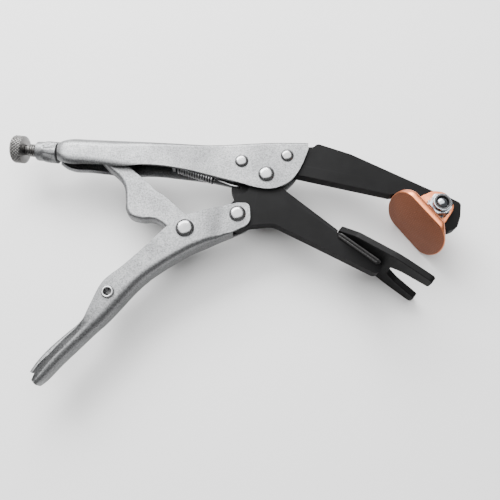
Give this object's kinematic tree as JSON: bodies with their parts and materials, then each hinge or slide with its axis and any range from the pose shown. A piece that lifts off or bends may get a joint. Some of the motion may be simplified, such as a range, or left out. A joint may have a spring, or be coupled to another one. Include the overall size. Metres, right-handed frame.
{
  "type": "locking pliers",
  "caption": "Plug-weld locking pliers: pressed handles, toggle link, knurled adjusting screw, slotted lower jaw plate and a swivelling copper pad.",
  "frame": {"origin": "centre of the tool's box in plan, on the surface that it lies on", "axes": "+X from the adjusting knob towards the jaws, +Y from the lower handle towards the fixed handle, +Z through the tool's thickness, up from the surface it lies on"},
  "size_m": [0.2942, 0.1638, 0.0465],
  "materials": {
    "nickel": "satin nickel plating on pressed steel",
    "screw_steel": "plain turned and knurled steel",
    "black_steel": "matte black oxide on forged steel",
    "rivet_steel": "bright headed steel",
    "weld": "blackened weld bead",
    "spring_steel": "oil-tempered spring wire",
    "copper": "bare copper, satin, with a fine scored gripping face",
    "zinc": "bright zinc plating",
    "nylon": "dark grey nylon"
  },
  "bodies": {
    "upper_handle": {"fixed_handle": "nickel", "screw_boss": "nickel", "upper_jaw": "black_steel", "upper_jaw_rivet_rear": "rivet_steel", "upper_jaw_rivet_front": "rivet_steel", "main_pivot_rivet": "rivet_steel", "return_spring": "spring_steel", "pad_bolt": "zinc", "pad_nut": "zinc", "pad_nut_insert": "nylon", "pad_lock_washer": "zinc", "pad_head_washer": "zinc"},
    "lower_jaw": {"lower_jaw": "black_steel", "fork_plate": "black_steel", "weld_bead_near": "weld", "weld_bead_far": "weld", "handle_jaw_rivet": "rivet_steel"},
    "lower_handle": {"lower_handle": "nickel", "handle_link_rivet": "rivet_steel", "release_lever_rivet": "rivet_steel"},
    "toggle_link": {"toggle_link": "nickel"},
    "release_lever": {"release_lever": "nickel"},
    "screw": {"adjusting_screw": "screw_steel"},
    "knob": {"adjusting_knob": "screw_steel"},
    "pad": {"copper_pad": "copper"}
  },
  "joints": [
    {"name": "jaw_pivot", "type": "hinge", "parent": "upper_handle", "child": "lower_jaw", "pos_m": [0.02279, 0.05095, 0.02324], "axis": [0, 0, 1], "range_deg": [0, 16.81], "deforming": ["return_spring"]},
    {"name": "handle_pivot", "type": "hinge", "parent": "lower_jaw", "child": "lower_handle", "pos_m": [0.00429, 0.02305, 0.02324], "axis": [0, 0, -1], "range_deg": [0, 38.28]},
    {"name": "link_pivot", "type": "hinge", "parent": "lower_handle", "child": "toggle_link", "pos_m": [-0.02821, 0.01245, 0.02324], "axis": [0, 0, 1], "range_deg": [0, 29.77]},
    {"name": "release_lever_pivot", "type": "hinge", "parent": "lower_handle", "child": "release_lever", "pos_m": [-0.07241, -0.02845, 0.02324], "axis": [0, 0, 1], "range_deg": [0, 3.5]},
    {"name": "pad_swivel", "type": "hinge", "parent": "upper_handle", "child": "pad", "pos_m": [0.13079, 0.02675, 0.02324], "axis": [0, 0, 1], "range_deg": [0, 31.81]},
    {"name": "screw_travel", "type": "slide", "parent": "upper_handle", "child": "screw", "axis": [-0.9945, 0.1045, 0], "range_m": [0, 0.012]},
    {"name": "knob_turn", "type": "hinge", "parent": "screw", "child": "knob", "pos_m": [-0.13781, 0.07195, 0.02324], "axis": [-0.9945, 0.1045, 0], "range_deg": [0, 2881]}
  ],
  "couplings": [
    {"joint": "jaw_pivot", "follows": "handle_pivot", "ratio": 0.43884},
    {"joint": "link_pivot", "follows": "handle_pivot", "ratio": 0.77736},
    {"joint": "pad_swivel", "follows": "handle_pivot", "ratio": 0.83067},
    {"joint": "knob_turn", "follows": "screw_travel", "rad_per_m": 4188.8}
  ]
}
